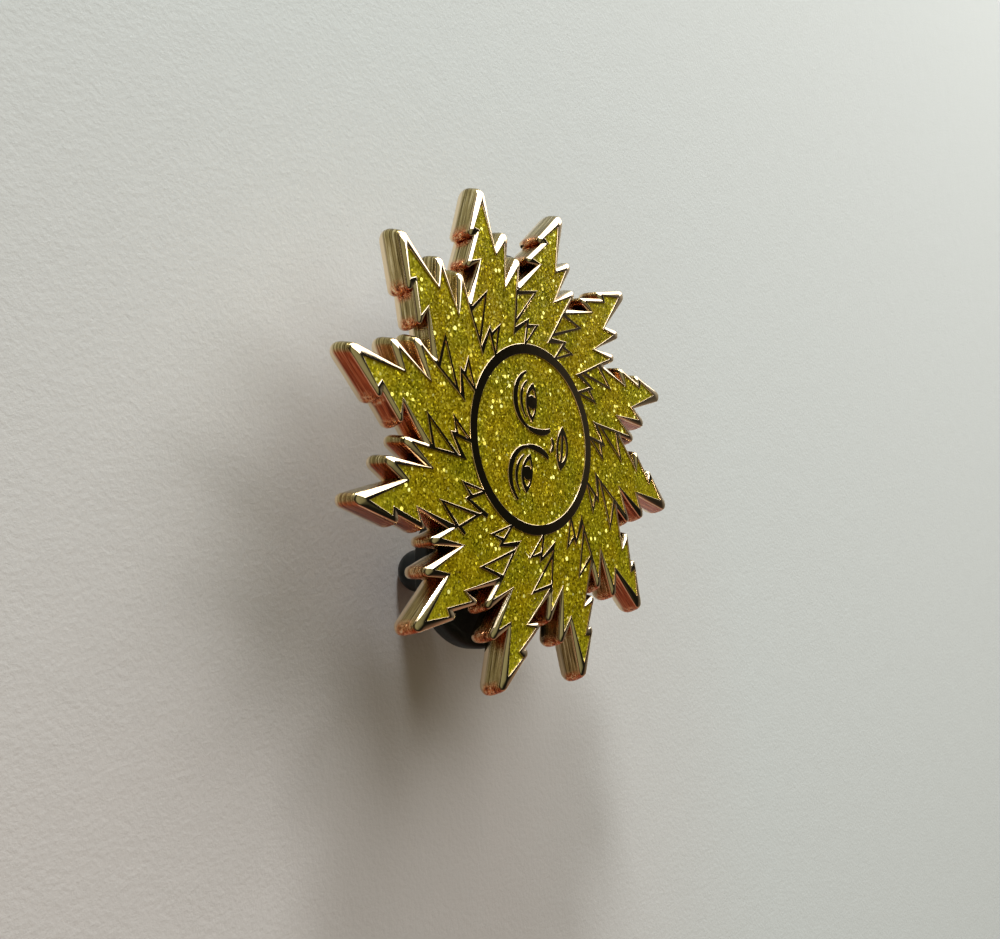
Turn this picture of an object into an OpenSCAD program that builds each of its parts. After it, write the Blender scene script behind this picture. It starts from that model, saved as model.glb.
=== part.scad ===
// Sun badge: a struck and plated plate with twelve swirling rays, colour fills set in
// its cells, and two nail posts on the back, each with a rubber clutch pushed onto it.
// Millimetres. +Z is the way the face looks, z = 0 is the plane the clutch knobs stand on,
// and X = Y = 0 is the middle of the face.

/* [Plate] */
// Thickness of the struck plate, line tops to back
plate_t = 1.8; // [1.5:0.1:3]
// Depth of the colour cells below the line tops
cell_depth = 0.6; // [0.3:0.05:1]
// How far the fills stay below the line tops
fill_drop = 0.08; // [0.02:0.02:0.2]
// Height over which the rim swells out to the side
rim_step = 0.5; // [0.2:0.05:0.6]
// Height over which the side draws in again at the back
back_step = 0.25; // [0.1:0.05:0.5]

/* [Face] */
// Outer radius of the ring round the face
ring_r = 6.43; // [6.2:0.01:6.45]
// Width of the ring
ring_w = 0.64; // [0.3:0.02:1]
// Tilt of the head, positive to the left
head_tilt = -16; // [-40:1:40]

/* [Posts] */
// Distance of each post from the middle
post_reach = 8.7; // [7.5:0.1:9.5]
// Direction of the right-hand post
post_angle = -21; // [-40:1:10]
// Post diameter
post_d = 1.2; // [1:0.05:1.4]
// Post length below the back of the plate
post_len = 8; // [7:0.5:10]
// Diameter of the post's flat foot
foot_d = 3; // [2.4:0.1:4]

/* [Clutches] */
// Flange diameter
flange_d = 10.7; // [9:0.1:11.5]
// Flange thickness
flange_t = 1.3; // [0.9:0.1:1.8]
// Gap for cloth between the plate's back and the flange
cloth_gap = 1.4; // [0.8:0.1:2.5]
// Knob diameter next to the flange
knob_d = 4.4; // [3.6:0.1:5.5]
// Knob diameter at its round end
knob_end_d = 3; // [2.6:0.1:3.4]
// Radial clearance of the clutch bore round the post
bore_play = 0.03; // [0.02:0.01:0.08]

/* [Hidden] */
rays = 12;
sector = 360 / rays;
tip_play = 0.1;
end_wall = 0.5;
// heights
back_z = end_wall + tip_play + post_len;
line_z = back_z + plate_t;
floor_z = line_z - cell_depth;
fill_z = line_z - fill_drop;
clutch_h = back_z - cloth_gap;
face_r = ring_r - ring_w;

gold = [0.80, 0.58, 0.33];
enamel = [0.66, 0.60, 0.10];
solder = [0.62, 0.60, 0.58];
rubber = [0.05, 0.05, 0.055];

// ---- plane helpers ----
function spin(p, a) = [p[0] * cos(a) - p[1] * sin(a), p[0] * sin(a) + p[1] * cos(a)];
function spin_all(pts, a) = [for (p = pts) spin(p, a)];
function unit(v) = v / norm(v);
function mix(a, b, t) = a * (1 - t) + b * t;
function wrap(a) = a > 180 ? a - 360 : (a < -180 ? a + 360 : a);

// Corner b between a and c, rounded to radius r with n chords (r = 0 keeps it sharp)
function rounded(a, b, c, r, n = 4) =
    r == 0 ? [b] :
    let (u = unit(a - b), v = unit(c - b),
         half = acos(u * v) / 2,
         o = b + unit(u + v) * (r / sin(half)),
         p = b + u * (r / tan(half)), q = b + v * (r / tan(half)),
         a0 = atan2(p[1] - o[1], p[0] - o[0]),
         turn = wrap(atan2(q[1] - o[1], q[0] - o[0]) - a0))
    [for (i = [0 : n]) o + r * [cos(a0 + turn * i / n), sin(a0 + turn * i / n)]];

// Closed outline from [point, radius] corners
function outline(cs) =
    [for (i = [0 : len(cs) - 1])
        each rounded(cs[(i + len(cs) - 1) % len(cs)][0], cs[i][0], cs[(i + 1) % len(cs)][0], cs[i][1])];

function arc(r, a0, a1, n) = [for (i = [0 : n]) r * [cos(mix(a0, a1, i / n)), sin(mix(a0, a1, i / n))]];

// ---- the ray, seen with its tip at the top ----
// Edge of the flat rim, clockwise from a ray's tip to the next: [corner, rounding]
rim_edge = [
    [[-2.30, 17.50], 0.40],   // tip
    [[-1.69, 12.78], 0],      // first notch
    [[0.05, 14.70], 0.32],    // first flame
    [[-1.05, 10.54], 0],      // second notch
    [[1.15, 13.10], 0.28],    // second flame
    [[0.37, 10.56], 0],       // valley between two rays
    [[2.73, 11.93], 0],       // next ray: lower notch
    [[1.25, 12.12], 0.21],    // next ray: lower barb
    [[3.48, 13.49], 0],       // next ray: upper notch
    [[2.80, 13.62], 0.25]     // next ray: upper barb
];
// The plate's swollen side, the same corners at its widest
side_edge = [
    [[-2.22, 17.98], 0.43], [[-1.61, 13.04], 0], [[0.32, 15.19], 0.39], [[-0.76, 11.09], 0],
    [[1.48, 13.70], 0.34], [[0.61, 10.86], 0], [[2.28, 11.83], 0], [[0.79, 12.02], 0.30],
    [[3.18, 13.44], 0], [[2.42, 13.52], 0.28]
];

// Whole edge of the plate, t = 0 at the flat rim and 1 at the widest
function edge_corners(t) =
    [for (k = [0 : rays - 1]) for (i = [0 : len(rim_edge) - 1])
        [spin(mix(rim_edge[i][0], side_edge[i][0], t), -sector * k),
         mix(rim_edge[i][1], side_edge[i][1], t)]];

// Colour cell of one ray: right side from the tip in, then left side back out
cell_right = [
    [-2.62, 15.65], [-1.78, 12.25], [-0.77, 13.14], [-1.25, 10.10], [0.37, 11.54],
    [-0.03, 10.15], [-0.71, 7.63], [-0.92, 7.03], [0.64, 7.87]
];
cell_left = [
    [1.97, 7.75], [0.84, 7.74], [0.93, 8.16], [-0.64, 7.55], [-0.57, 7.74], [2.22, 10.10],
    [0.18, 10.00], [3.04, 11.98], [2.13, 12.33], [4.14, 13.53], [3.76, 13.93]
];
ring_gap_a = 89.0;    // where the cell's right side meets the ring
ring_gap_b = 87.1;    // where the next cell's left side meets it
function ray_outline(right) = concat(right, arc(ring_r, ring_gap_a, ring_gap_b + sector, 6),
                                     spin_all(cell_left, sector));
ray_cell = ray_outline(cell_right);
// In the last ray two lines run on across its right side
last_cell = ray_outline([
    [-2.62, 15.65], [-1.78, 12.25], [-0.77, 13.14], [-1.25, 10.10], [0.37, 11.54],
    [0.00, 9.90], [-0.75, 9.72], [-0.72, 9.56], [-0.22, 9.60], [-0.71, 7.63], [-1.20, 7.32],
    [-1.05, 7.10], [0.64, 7.87]
]);
function cell_of(k) = k == rays - 1 ? last_cell : ray_cell;
// Two closed cells in the overlap of one ray with the next
flame_large = [[0.00, 9.76], [1.84, 9.92], [-0.41, 8.12]];
flame_small = [[0.71, 7.51], [1.58, 7.65], [0.36, 6.60]];

module ray_fill(k) {
    color(enamel) translate([0, 0, floor_z]) linear_extrude(cell_depth - fill_drop)
        polygon(spin_all(cell_of(k), -sector * k));
}
module flame_fills(cell) {
    color(enamel) for (k = [0 : rays - 1]) translate([0, 0, floor_z])
        linear_extrude(cell_depth - fill_drop) polygon(spin_all(cell, -sector * k));
}

// ---- the face: a calm, even-featured drawing in raised lines ----
// Guide lines of the head, a circle of radius face_r, in its own upright frame
eye_y = 0.45;
eye_x = face_r * 0.42;
eye_w = face_r * 0.46;
nose_y = -1.75;
mouth_y = -3.00;

function bez(p, t) = pow(1 - t, 3) * p[0] + 3 * t * pow(1 - t, 2) * p[1]
                   + 3 * t * t * (1 - t) * p[2] + pow(t, 3) * p[3];
function bez_dir(p, t) = unit(pow(1 - t, 2) * (p[1] - p[0]) + 2 * t * (1 - t) * (p[2] - p[1])
                            + t * t * (p[3] - p[2]) + [1e-6, 0]);
function side(p, t, w) = let (d = bez_dir(p, t)) bez(p, t) + [-d[1], d[0]] * w;
function swell(w, t, ends) = w * (ends + (1 - ends) * sin(180 * t)) / 2;
// A drawn line along a curve, w wide in its middle and thinner at its ends
function brush(p, w, ends = 0.35, n = 12) =
    concat([for (i = [0 : n]) side(p, i / n, swell(w, i / n, ends))],
           [for (i = [n : -1 : 0]) side(p, i / n, -swell(w, i / n, ends))]);
function flip(pts) = [for (i = [len(pts) - 1 : -1 : 0]) [-pts[i][0], pts[i][1]]];
// Lens between an upper and a lower curve with the same ends
function lens(up, low, n = 10) =
    concat([for (i = [0 : n]) bez(up, i / n)], [for (i = [n - 1 : -1 : 1]) bez(low, i / n)]);

// Right-hand half of the drawing; the left is its mirror image
brow = [[4.35, 1.30], [3.50, 2.75], [1.05, 2.60], [0.62, 0.60]];
nose_line = [[0.62, 0.66], [0.50, -0.30], [0.60, -1.05], [0.98, nose_y + 0.15]];
crease = [[3.75, 1.15], [3.20, 1.85], [1.95, 1.80], [1.30, 1.00]];
lid_up = [[eye_x - eye_w / 2, eye_y - 0.10], [eye_x - 0.6, eye_y + 0.95],
          [eye_x + 0.75, eye_y + 0.90], [eye_x + eye_w / 2, eye_y + 0.05]];
lid_low = [[eye_x - eye_w / 2, eye_y - 0.10], [eye_x - 0.5, eye_y - 0.62],
           [eye_x + 0.6, eye_y - 0.62], [eye_x + eye_w / 2, eye_y + 0.05]];
white_up = [[eye_x - eye_w / 2 + 0.34, eye_y - 0.06], [eye_x - 0.45, eye_y + 0.62],
            [eye_x + 0.55, eye_y + 0.58], [eye_x + eye_w / 2 - 0.40, eye_y + 0.04]];
white_low = [[eye_x - eye_w / 2 + 0.34, eye_y - 0.06], [eye_x - 0.45, eye_y - 0.42],
             [eye_x + 0.5, eye_y - 0.42], [eye_x + eye_w / 2 - 0.40, eye_y + 0.04]];
iris_r = 0.46;
nostril = [[0.0, nose_y - 0.30], [0.12, nose_y - 0.30], [0.30, nose_y - 0.26], [0.46, nose_y - 0.08]];
lip_edge_up = [[-1.55, mouth_y + 0.05], [-0.75, mouth_y + 0.75], [0.75, mouth_y + 0.75],
               [1.55, mouth_y + 0.05]];
lip_edge_low = [[-1.55, mouth_y + 0.05], [-0.80, mouth_y - 1.00], [0.80, mouth_y - 1.00],
                [1.55, mouth_y + 0.05]];
lip_cell_up = [[-0.98, mouth_y + 0.14], [-0.45, mouth_y + 0.48], [0.45, mouth_y + 0.48],
               [0.98, mouth_y + 0.14]];
lip_cell_mid_up = [[-0.98, mouth_y + 0.14], [-0.4, mouth_y + 0.02], [0.4, mouth_y + 0.02],
                   [0.98, mouth_y + 0.14]];
lip_cell_mid_low = [[-0.98, mouth_y - 0.10], [-0.4, mouth_y - 0.20], [0.4, mouth_y - 0.20],
                    [0.98, mouth_y - 0.10]];
lip_cell_low = [[-0.98, mouth_y - 0.10], [-0.55, mouth_y - 0.68], [0.55, mouth_y - 0.68],
                [0.98, mouth_y - 0.10]];

module at_face(h0, h1) {
    translate([0, 0, h0]) rotate(head_tilt) linear_extrude(h1 - h0) children();
}
// Everything that stands up as metal inside the ring
module face_lines(h0, h1) {
    for (half = [brush(brow, 0.42), brush(nose_line, 0.40, 0.6), brush(crease, 0.24),
                 brush(nostril, 0.26, 0.6), lens(lid_up, lid_low)]) {
        at_face(h0, h1) polygon(half);
        at_face(h0, h1) polygon(flip(half));
    }
    at_face(h0, h1) polygon(lens(lip_edge_up, lip_edge_low));
}
// Cells inside the eyes, either side of the iris, and inside the lips
module eye_cells(h0, h1) {
    difference() {
        union() {
            at_face(h0, h1) polygon(lens(white_up, white_low));
            at_face(h0, h1) polygon(flip(lens(white_up, white_low)));
        }
        for (s = [-1, 1]) at_face(h0 - 1, h1 + 1) translate([s * eye_x, eye_y + 0.06])
            circle(r = iris_r, $fn = 48);
    }
}
module lip_cells(h0, h1) {
    at_face(h0, h1) polygon(lens(lip_cell_up, lip_cell_mid_up));
    at_face(h0, h1) polygon(lens(lip_cell_mid_low, lip_cell_low));
}
module face_field(h0, h1) {
    difference() {
        translate([0, 0, h0]) cylinder(r = face_r, h = h1 - h0, $fn = 96);
        face_lines(h0 - 1, h1 + 1);
    }
}

module face_fill() { color(enamel) face_field(floor_z, fill_z); }
module eye_fills() { color(enamel) eye_cells(floor_z, fill_z); }
module lip_fills() { color(enamel) lip_cells(floor_z, fill_z); }

// ---- the plate ----
module struck_plate() {
    color(gold) difference() {
        union() {
            translate([0, 0, back_z]) linear_extrude(plate_t) polygon(outline(edge_corners(0)));
            translate([0, 0, back_z]) linear_extrude(plate_t - rim_step / 2)
                polygon(outline(edge_corners(0.5)));
            translate([0, 0, back_z + back_step]) linear_extrude(plate_t - back_step - rim_step)
                polygon(outline(edge_corners(1)));
        }
        for (k = [0 : rays - 1]) for (cell = [cell_of(k), flame_large, flame_small])
            translate([0, 0, floor_z]) linear_extrude(cell_depth + 1)
                polygon(spin_all(cell, -sector * k));
        face_field(floor_z, line_z + 1);
        eye_cells(floor_z, line_z + 1);
        lip_cells(floor_z, line_z + 1);
    }
}

// ---- posts, solder and clutches; s = 1 is the right-hand one ----
module at_post(s) {
    rotate(post_angle + (s > 0 ? 0 : 180)) translate([post_reach, 0, 0]) children();
}
foot_t = 0.3;          // thickness of the post's foot
point_r = 0.16;        // blunt end of the post's point
point_len = 1.1;
groove_z = end_wall + tip_play + 2.2;
groove_len = 0.5;      // groove that the rubber grips
groove_deep = 0.1;
groove_ramp = 0.12;
solder_w = 0.62;       // width of the solder fillet round the foot
knob_flat_r = 0.7;     // flat end that the knob stands on
neck_h = 0.45;         // flare where the knob meets the flange
mouth = 0.3;           // lead-in at the bore's open end
bore_cone = 0.5;       // cone at the bore's blind end

module post(s) {
    r = post_d / 2;
    tip_z = back_z - post_len;
    color(gold) at_post(s) rotate_extrude($fn = 64) polygon([
        [0, tip_z], [point_r, tip_z], [r, tip_z + point_len],
        [r, groove_z], [r - groove_deep, groove_z + groove_ramp],
        [r - groove_deep, groove_z + groove_len - groove_ramp], [r, groove_z + groove_len],
        [r, back_z - foot_t], [foot_d / 2, back_z - foot_t], [foot_d / 2, back_z], [0, back_z]
    ]);
}
module solder(s) {
    r = foot_d / 2;
    color(solder) at_post(s) rotate_extrude($fn = 64) polygon([
        [r, back_z], [r, back_z - foot_t], [r + solder_w * 0.26, back_z - foot_t * 0.62],
        [r + solder_w * 0.58, back_z - foot_t * 0.25], [r + solder_w, back_z]
    ]);
}
module clutch(s) {
    r = flange_d / 2;
    re = knob_end_d / 2;
    ze = sqrt(re * re - knob_flat_r * knob_flat_r);
    a0 = -asin(ze / re);
    fb = clutch_h - flange_t;
    e = flange_t / 2 - 0.1;
    bore = post_d / 2 + bore_play;
    color(rubber) at_post(s) rotate_extrude($fn = 96) polygon(concat(
        [[0, 0]],
        [for (i = [0 : 6]) [0, ze] + re * [cos(a0 * (1 - i / 6)), sin(a0 * (1 - i / 6))]],
        [[knob_d / 2, fb - neck_h], [knob_d / 2 + neck_h * 0.3, fb - neck_h / 3], [knob_d / 2 + neck_h, fb]],
        [for (i = [0 : 4]) [r - e, fb + e] + e * [sin(22.5 * i), -cos(22.5 * i)]],
        [for (i = [0 : 4]) [r - e, clutch_h - e] + e * [cos(22.5 * i), sin(22.5 * i)]],
        [[bore + mouth, clutch_h], [bore, clutch_h - mouth], [bore, end_wall + bore_cone],
         [bore / 2, end_wall], [0, end_wall]]
    ));
}

struck_plate();
ray_fill(0);  // ray_fill_01
ray_fill(1);  // ray_fill_02
ray_fill(2);  // ray_fill_03
ray_fill(3);  // ray_fill_04
ray_fill(4);  // ray_fill_05
ray_fill(5);  // ray_fill_06
ray_fill(6);  // ray_fill_07
ray_fill(7);  // ray_fill_08
ray_fill(8);  // ray_fill_09
ray_fill(9);  // ray_fill_10
ray_fill(10);  // ray_fill_11
ray_fill(11);  // ray_fill_12
flame_fills(flame_large);  // flame_fills_large
flame_fills(flame_small);  // flame_fills_small
face_fill();
eye_fills();
lip_fills();
post(-1);  // post_left
post(1);  // post_right
solder(-1);  // solder_left
solder(1);  // solder_right
clutch(-1);  // clutch_left
clutch(1);  // clutch_right
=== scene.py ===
"""Looks of the sun badge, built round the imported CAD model. Blender works in metres; sizes here are in
millimetres unless a comment says otherwise, and a Builder turns them into metres."""

import math

import bmesh
import bpy
import numpy as np
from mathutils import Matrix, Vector, geometry


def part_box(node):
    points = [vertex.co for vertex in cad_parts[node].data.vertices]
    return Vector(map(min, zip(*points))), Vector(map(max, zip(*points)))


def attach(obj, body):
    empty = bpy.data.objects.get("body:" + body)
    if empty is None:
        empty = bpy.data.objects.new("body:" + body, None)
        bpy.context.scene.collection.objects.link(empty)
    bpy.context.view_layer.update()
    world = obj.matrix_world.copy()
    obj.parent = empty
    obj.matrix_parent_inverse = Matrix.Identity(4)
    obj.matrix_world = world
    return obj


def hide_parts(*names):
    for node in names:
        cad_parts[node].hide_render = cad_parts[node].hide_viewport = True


MM = 0.001
WELD = 2e-4  # points closer than this become one

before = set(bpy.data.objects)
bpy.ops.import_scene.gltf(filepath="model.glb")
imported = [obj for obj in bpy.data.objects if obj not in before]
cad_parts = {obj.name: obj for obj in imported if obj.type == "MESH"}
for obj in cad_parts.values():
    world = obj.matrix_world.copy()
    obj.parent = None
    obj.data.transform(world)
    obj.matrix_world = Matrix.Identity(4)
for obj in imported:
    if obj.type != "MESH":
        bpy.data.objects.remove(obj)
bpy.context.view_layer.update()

# ---------------------------------------------------------------- sizes, from the CAD nodes
plate_low, plate_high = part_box("struck_plate")
fill_low, fill_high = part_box("face_fill")
BACK_Z = plate_low.z / MM  # back of the plate
LINE_Z = plate_high.z / MM  # tops of the raised lines
FILL_Z = fill_high.z / MM  # top of the colour fills
FLOOR_Z = fill_low.z / MM  # floor of the colour cells

RAYS = 12
SECTOR = 360 / RAYS
RING_R = 6.43  # outer radius of the ring round the face
FACE_R = 5.79  # its inner radius
HEAD_TILT = -16  # degrees, of the face in its ring

# ---------------------------------------------------------------- plane geometry, as in the CAD
FLATTEST = 0.08  # keeps the divisor away from 0 where a corner turns back on itself
LONGEST_MITRE = 2.2  # most that a sharp corner of a loop moves, in units of its sides' move
LONGEST_PULL = 2.0  # the same for a raised flat


def spin(points, degrees):
    p = np.atleast_2d(np.asarray(points, float))
    a = math.radians(degrees)
    c, s = math.cos(a), math.sin(a)
    return np.c_[p[:, 0] * c - p[:, 1] * s, p[:, 0] * s + p[:, 1] * c]


def unit(v):
    return v / max(1e-12, float(np.hypot(v[0], v[1])))


def rounded(a, b, c, r, n):
    """Corner b between a and c, rounded with radius r in n steps; one point where r is 0."""
    a, b, c = (np.asarray(p, float) for p in (a, b, c))
    if r == 0:
        return [b]
    u, v = unit(a - b), unit(c - b)
    half = math.acos(max(-1, min(1, float(u @ v)))) / 2
    o = b + unit(u + v) * r / math.sin(half)
    p, q = b + u * r / math.tan(half), b + v * r / math.tan(half)
    a0 = math.atan2(p[1] - o[1], p[0] - o[0])
    turn = (math.atan2(q[1] - o[1], q[0] - o[0]) - a0 + math.pi) % (2 * math.pi) - math.pi
    return [
        o + r * np.array([math.cos(a0 + turn * i / n), math.sin(a0 + turn * i / n)])
        for i in range(n + 1)
    ]


def mitres(loop):
    """Where each point of a loop moves when its sides move one unit to the left of travel, kept short at
    sharp corners."""
    p = np.asarray(loop, float)
    out = []
    for a, b, c in zip(np.roll(p, 1, 0), p, np.roll(p, -1, 0)):
        n1, n2 = unit(b - a), unit(c - b)
        n1, n2 = np.array([-n1[1], n1[0]]), np.array([-n2[1], n2[0]])
        m = (n1 + n2) / max(FLATTEST, 1 + float(n1 @ n2))
        length = float(np.hypot(*m))
        out.append(m * min(1, LONGEST_MITRE / max(length, 1e-9)))
    return np.array(out)


def area(loop):
    p = np.asarray(loop, float)
    q = np.roll(p, -1, 0)
    return float((p[:, 0] * q[:, 1] - q[:, 0] * p[:, 1]).sum() / 2)


def inside(points, loop):
    """Which of the points lie inside the closed loop."""
    pts, p = np.asarray(points, float), np.asarray(loop, float)
    q = np.roll(p, -1, 0)
    odd = np.zeros(len(pts), bool)
    for (x0, y0), (x1, y1) in zip(p, q):
        if y0 == y1:
            continue
        hit = (y0 > pts[:, 1]) != (y1 > pts[:, 1])
        odd ^= hit & (pts[:, 0] < (x1 - x0) * (pts[:, 1] - y0) / (y1 - y0) + x0)
    return odd


def any_of(points, loops):
    """Which of the points lie inside at least one of the loops."""
    hit = np.zeros(len(points), bool)
    for loop in loops:
        lo, hi = loop.min(0), loop.max(0)
        near = ((points >= lo) & (points <= hi)).all(1)
        if near.any():
            hit[near] |= inside(points[near], loop)
    return hit


def arc(r, a0, a1, n, centre=(0, 0)):
    t = np.radians(np.linspace(a0, a1, n + 1))
    return np.c_[centre[0] + r * np.cos(t), centre[1] + r * np.sin(t)]


# ---------------------------------------------------------------- outlines of one ray, as in the CAD
# Edge of the plate's flat rim, clockwise from a ray's tip to the next: [corner, rounding]
RIM = [
    [(-2.30, 17.50), 0.40], [(-1.69, 12.78), 0], [(0.05, 14.70), 0.32], [(-1.05, 10.54), 0],
    [(1.15, 13.10), 0.28], [(0.37, 10.56), 0], [(2.73, 11.93), 0], [(1.25, 12.12), 0.21],
    [(3.48, 13.49), 0], [(2.80, 13.62), 0.25],
]
# The same corners at the side's widest
SIDE = [
    [(-2.22, 17.98), 0.43], [(-1.61, 13.04), 0], [(0.32, 15.19), 0.39], [(-0.76, 11.09), 0],
    [(1.48, 13.70), 0.34], [(0.61, 10.86), 0], [(2.28, 11.83), 0], [(0.79, 12.02), 0.30],
    [(3.18, 13.44), 0], [(2.42, 13.52), 0.28],
]
VALLEY = 5  # place in these lists of the valley between two rays
BARBS = (0, 2, 4, 7, 9)  # places of the rounded tip and barbs
# Sides of the colour cells in one sector: the right side of a ray's own cell, from its tip in to the ring,
# and the left side of the next ray's cell, from the ring out. In the last ray two lines run on across the
# right side.
CELL_RIGHT = [
    (-2.62, 15.65), (-1.78, 12.25), (-0.77, 13.14), (-1.25, 10.10), (0.37, 11.54),
    (-0.03, 10.15), (-0.71, 7.63), (-0.92, 7.03), (0.64, 7.87),
]
LAST_RIGHT = CELL_RIGHT[:5] + [
    (0.00, 9.90), (-0.75, 9.72), (-0.72, 9.56), (-0.22, 9.60), (-0.71, 7.63), (-1.20, 7.32),
    (-1.05, 7.10), (0.64, 7.87),
]
CELL_LEFT = [
    (1.97, 7.75), (0.84, 7.74), (0.93, 8.16), (-0.64, 7.55), (-0.57, 7.74), (2.22, 10.10),
    (0.18, 10.00), (3.04, 11.98), (2.13, 12.33), (4.14, 13.53), (3.76, 13.93),
]
RING_ENDS = (89.0, 87.1)  # where these two sides meet the ring, in degrees
# The two triangular fills beside each ray
FLAME_LARGE = [(0.00, 9.76), (1.84, 9.92), (-0.41, 8.12)]
FLAME_SMALL = [(0.71, 7.51), (1.58, 7.65), (0.36, 6.60)]


def cell_right(k):
    return LAST_RIGHT if k == RAYS - 1 else CELL_RIGHT


def cell_of(k):
    ring = arc(RING_R, RING_ENDS[0], RING_ENDS[1] + SECTOR, 10)
    return spin(np.r_[np.array(cell_right(k)), ring, spin(CELL_LEFT, SECTOR)], -SECTOR * k)


def edge_row(t, n=7):
    """The plate's whole edge as one run of points per corner, t = 0 at the flat rim and 1 at the widest."""
    corners = []
    for k in range(RAYS):
        for (p0, r0), (p1, r1) in zip(RIM, SIDE):
            p = np.array(p0) * (1 - t) + np.array(p1) * t
            corners.append((spin(p, -SECTOR * k)[0], r0 * (1 - t) + r1 * t))
    out, m = [], len(corners)
    for i, (corner, r) in enumerate(corners):
        out.append(rounded(corners[i - 1][0], corner, corners[(i + 1) % m][0], r, n))
    return out


CELLS = [cell_of(k) for k in range(RAYS)]
FLAMES_LARGE = [spin(FLAME_LARGE, -SECTOR * k) for k in range(RAYS)]
FLAMES_SMALL = [spin(FLAME_SMALL, -SECTOR * k) for k in range(RAYS)]

# ---------------------------------------------------------------- the face: calm, even features
EYE_X, EYE_Y, EYE_W = FACE_R * 0.42, 0.45, FACE_R * 0.46
NOSE_Y, MOUTH_Y, IRIS_R = -1.75, -3.00, 0.46


def bez(p, t):
    """Point t of a curve from p[0] to p[3] with the handles p[1] and p[2]."""
    p = [np.asarray(q, float) for q in p]
    return (1 - t) ** 3 * p[0] + 3 * t * (1 - t) ** 2 * p[1] + 3 * t * t * (1 - t) * p[2] + t**3 * p[3]


def bez_dir(p, t):
    """Direction of that curve at t."""
    p = [np.asarray(q, float) for q in p]
    legs = (1 - t) ** 2 * (p[1] - p[0]) + 2 * t * (1 - t) * (p[2] - p[1]) + t * t * (p[3] - p[2])
    return unit(legs + [1e-6, 0])  # never quite zero


def brush(p, w, ends=0.35, n=20):
    """A drawn line along a curve, w wide in its middle and thinner at its ends."""
    left, right = [], []
    for i in range(n + 1):
        t = i / n
        d, c = bez_dir(p, t), bez(p, t)
        h = w * (ends + (1 - ends) * math.sin(math.pi * t)) / 2
        left.append(c + np.array([-d[1], d[0]]) * h)
        right.append(c - np.array([-d[1], d[0]]) * h)
    return np.array(left + right[::-1])


def lens(up, low, n=16):
    """The area between two curves."""
    return np.array([bez(up, i / n) for i in range(n + 1)] + [bez(low, i / n) for i in range(n - 1, 0, -1)])


def flip(p):
    return (np.asarray(p) * [-1, 1])[::-1]


def eye_curve(left, mid_a, mid_b, right):
    return [
        (EYE_X - EYE_W / 2 + left[0], EYE_Y + left[1]), (EYE_X + mid_a[0], EYE_Y + mid_a[1]),
        (EYE_X + mid_b[0], EYE_Y + mid_b[1]), (EYE_X + EYE_W / 2 + right[0], EYE_Y + right[1]),
    ]


def lip_curve(w, y0, inner, y1):
    return [(-w, MOUTH_Y + y0), (-inner, MOUTH_Y + y1), (inner, MOUTH_Y + y1), (w, MOUTH_Y + y0)]


def at_face(p):
    """Turns part of the drawing to the head's tilt."""
    return spin(p, HEAD_TILT)


# Right-hand half of the drawing; the left is its mirror image
BROW = [(4.35, 1.30), (3.50, 2.75), (1.05, 2.60), (0.62, 0.60)]
NOSE_LINE = [(0.62, 0.66), (0.50, -0.30), (0.60, -1.05), (0.98, NOSE_Y + 0.15)]
CREASE = [(3.75, 1.15), (3.20, 1.85), (1.95, 1.80), (1.30, 1.00)]
NOSTRIL = [(0.0, NOSE_Y - 0.30), (0.12, NOSE_Y - 0.30), (0.30, NOSE_Y - 0.26), (0.46, NOSE_Y - 0.08)]
HALF_STROKES = [
    brush(BROW, 0.42), brush(NOSE_LINE, 0.40, 0.6), brush(CREASE, 0.24), brush(NOSTRIL, 0.26, 0.6),
    lens(eye_curve((0, -0.10), (-0.6, 0.95), (0.75, 0.90), (0, 0.05)),
         eye_curve((0, -0.10), (-0.5, -0.62), (0.6, -0.62), (0, 0.05))),
]
WHITE_HALF = lens(eye_curve((0.34, -0.06), (-0.45, 0.62), (0.55, 0.58), (-0.40, 0.04)),
                  eye_curve((0.34, -0.06), (-0.45, -0.42), (0.5, -0.42), (-0.40, 0.04)))
STROKES = [at_face(s) for h in HALF_STROKES for s in (h, flip(h))]
STROKES.append(at_face(lens(lip_curve(1.55, 0.05, 0.75, 0.75), lip_curve(1.55, 0.05, 0.80, -1.00))))
EYES = [at_face(WHITE_HALF), at_face(flip(WHITE_HALF))]
IRISES = [at_face(arc(IRIS_R, 0, 352.5, 47, (s * EYE_X, EYE_Y + 0.06))) for s in (1, -1)]
LIPS = [
    at_face(lens(lip_curve(0.98, 0.14, 0.45, 0.48), lip_curve(0.98, 0.14, 0.4, 0.02))),
    at_face(lens(lip_curve(0.98, -0.10, 0.4, -0.20), lip_curve(0.98, -0.10, 0.55, -0.68))),
]
FACE_DISC = arc(FACE_R, 0, 360 - 2.5, 143)

# ---------------------------------------------------------------- meshes


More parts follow.
